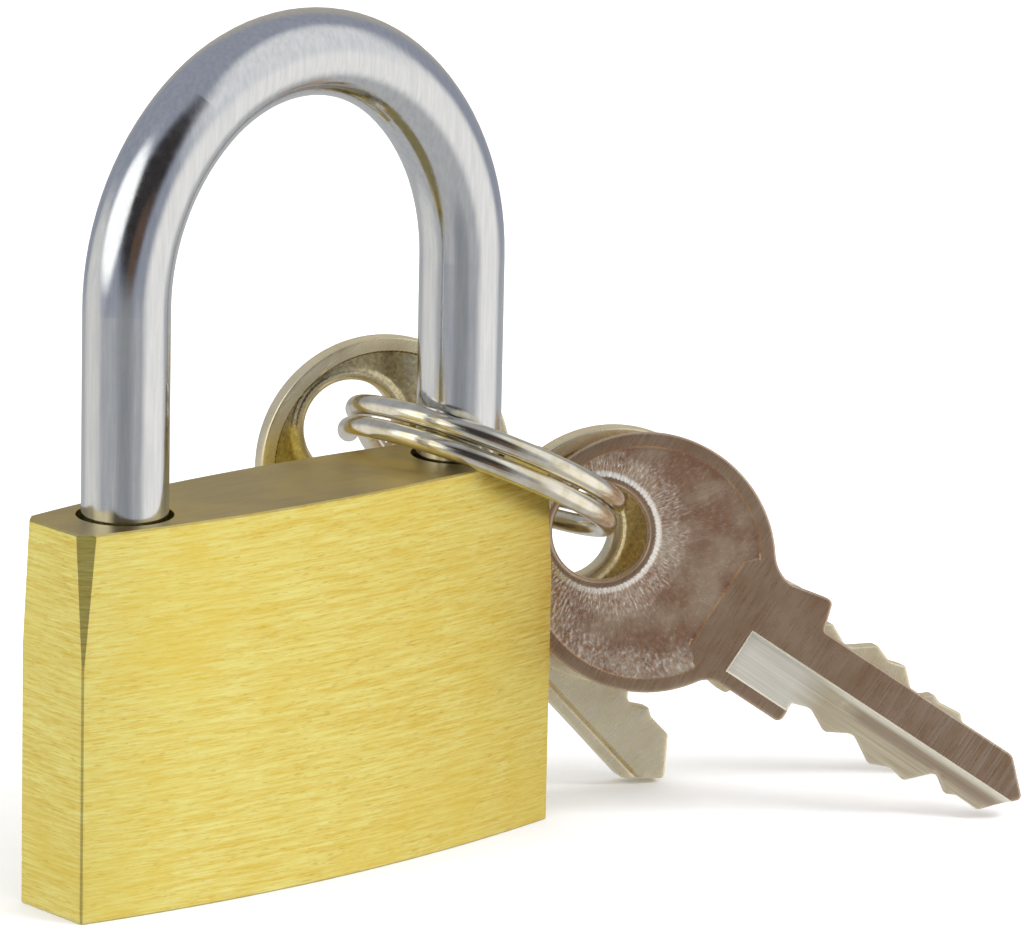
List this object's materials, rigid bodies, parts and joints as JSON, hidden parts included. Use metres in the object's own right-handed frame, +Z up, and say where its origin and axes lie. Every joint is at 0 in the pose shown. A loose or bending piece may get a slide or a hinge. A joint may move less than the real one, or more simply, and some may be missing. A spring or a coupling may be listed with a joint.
{
  "type": "padlock",
  "caption": "Solid brass padlock with a round chromed shackle and a pin tumbler lock inside, carrying its keys on a split ring round the shackle.",
  "frame": {"origin": "centre of the body's bottom face", "axes": "+Z up towards the shackle, +X along the body's width towards the shackle's toe, -Y towards the front"},
  "size_m": [0.0722, 0.0365, 0.0573],
  "materials": {
    "body_brass": "brushed brass",
    "bright_brass": "turned brass",
    "shackle_chrome": "satin chrome plate over hardened steel",
    "ring_nickel": "polished nickel plated steel wire",
    "key_nickel": "nickel plated stamped key blank with machined cuts",
    "spring_steel": "drawn spring wire",
    "hardened_steel": "ground steel"
  },
  "bodies": {
    "lock_body": {"body": "body_brass", "plug_retaining_pin": "hardened_steel", "shackle_stop_pin": "hardened_steel", "shackle_spring": "spring_steel", "latch_spring": "spring_steel", "latch_bore_plug": "bright_brass", "pin_spring_1": "spring_steel", "pin_spring_2": "spring_steel", "pin_spring_3": "spring_steel", "pin_spring_4": "spring_steel", "chamber_plug_1": "bright_brass", "chamber_plug_2": "bright_brass", "chamber_plug_3": "bright_brass", "chamber_plug_4": "bright_brass"},
    "shackle": {"shackle": "shackle_chrome", "shackle_follower": "hardened_steel"},
    "plug": {"plug": "bright_brass", "cam": "hardened_steel"},
    "latch_left": {"latch_left": "hardened_steel"},
    "latch_right": {"latch_right": "hardened_steel"},
    "ring": {"split_ring": "ring_nickel"},
    "key_1": {"key_1": "key_nickel"},
    "key_2": {"key_2": "key_nickel"},
    "key_3": {"key_3": "key_nickel"},
    "key_pin_1": {"key_pin_1": "bright_brass"},
    "driver_pin_1": {"driver_pin_1": "bright_brass"},
    "key_pin_2": {"key_pin_2": "bright_brass"},
    "driver_pin_2": {"driver_pin_2": "bright_brass"},
    "key_pin_3": {"key_pin_3": "bright_brass"},
    "driver_pin_3": {"driver_pin_3": "bright_brass"},
    "key_pin_4": {"key_pin_4": "bright_brass"},
    "driver_pin_4": {"driver_pin_4": "bright_brass"}
  },
  "joints": [
    {"name": "shackle_lift", "type": "slide", "parent": "lock_body", "child": "shackle", "axis": [0, 0, 1], "range_m": [0, 0.0104], "deforming": ["shackle_spring"]},
    {"name": "plug_turn", "type": "hinge", "parent": "lock_body", "child": "plug", "pos_m": [0, 0, 0.008], "axis": [0, 0, 1], "range_deg": [-90, 0]},
    {"name": "latch_left_slide", "type": "slide", "parent": "lock_body", "child": "latch_left", "axis": [1, 0, 0], "range_m": [-0.0018, 0], "deforming": ["latch_spring"]},
    {"name": "latch_right_slide", "type": "slide", "parent": "lock_body", "child": "latch_right", "axis": [-1, 0, 0], "range_m": [-0.0018, 0]},
    {"name": "key_pin_1_slide", "type": "slide", "parent": "plug", "child": "key_pin_1", "axis": [0, -1, 0], "range_m": [0, 0.0009]},
    {"name": "driver_pin_1_slide", "type": "slide", "parent": "lock_body", "child": "driver_pin_1", "axis": [1, 0, 0], "range_m": [0, 0.0012], "stiffness_N_per_m": 10, "springref_m": -0.004, "deforming": ["pin_spring_1"]},
    {"name": "key_pin_2_slide", "type": "slide", "parent": "plug", "child": "key_pin_2", "axis": [0, -1, 0], "range_m": [0, 0.0009]},
    {"name": "driver_pin_2_slide", "type": "slide", "parent": "lock_body", "child": "driver_pin_2", "axis": [1, 0, 0], "range_m": [0, 0.0012], "stiffness_N_per_m": 10, "springref_m": -0.004, "deforming": ["pin_spring_2"]},
    {"name": "key_pin_3_slide", "type": "slide", "parent": "plug", "child": "key_pin_3", "axis": [0, -1, 0], "range_m": [0, 0.0009]},
    {"name": "driver_pin_3_slide", "type": "slide", "parent": "lock_body", "child": "driver_pin_3", "axis": [1, 0, 0], "range_m": [0, 0.0012], "stiffness_N_per_m": 10, "springref_m": -0.004, "deforming": ["pin_spring_3"]},
    {"name": "key_pin_4_slide", "type": "slide", "parent": "plug", "child": "key_pin_4", "axis": [0, -1, 0], "range_m": [0, 0.0009]},
    {"name": "driver_pin_4_slide", "type": "slide", "parent": "lock_body", "child": "driver_pin_4", "axis": [1, 0, 0], "range_m": [0, 0.0012], "stiffness_N_per_m": 10, "springref_m": -0.004, "deforming": ["pin_spring_4"]},
    {"name": "ring_tilt", "type": "hinge", "parent": "lock_body", "child": "ring", "pos_m": [0.01026, -0.00137, 0.0282], "axis": [0.3283, -0.9357, -0.1295], "range_deg": [0, 20]},
    {"name": "key_1_swing", "type": "hinge", "parent": "ring", "child": "key_1", "pos_m": [0.0255, -0.00175, 0.01901], "axis": [-0.608, -0.7698, 0.1944], "range_deg": [0, 35]},
    {"name": "key_2_swing", "type": "hinge", "parent": "ring", "child": "key_2", "pos_m": [0.02565, 0.00186, 0.01845], "axis": [-0.4069, -0.91, 0.0796], "range_deg": [0, 45]},
    {"name": "key_3_travel", "type": "hinge", "parent": "ring", "child": "key_3", "pos_m": [0.01791, 0.0019, 0.02399], "axis": [0.4679, 0.042, 0.8828], "range_deg": [0, 20]}
  ],
  "couplings": [
    {"joint": "plug_turn", "follows": "latch_left_slide", "rad_per_m": 874.6},
    {"joint": "latch_right_slide", "follows": "latch_left_slide", "ratio": 1}
  ]
}
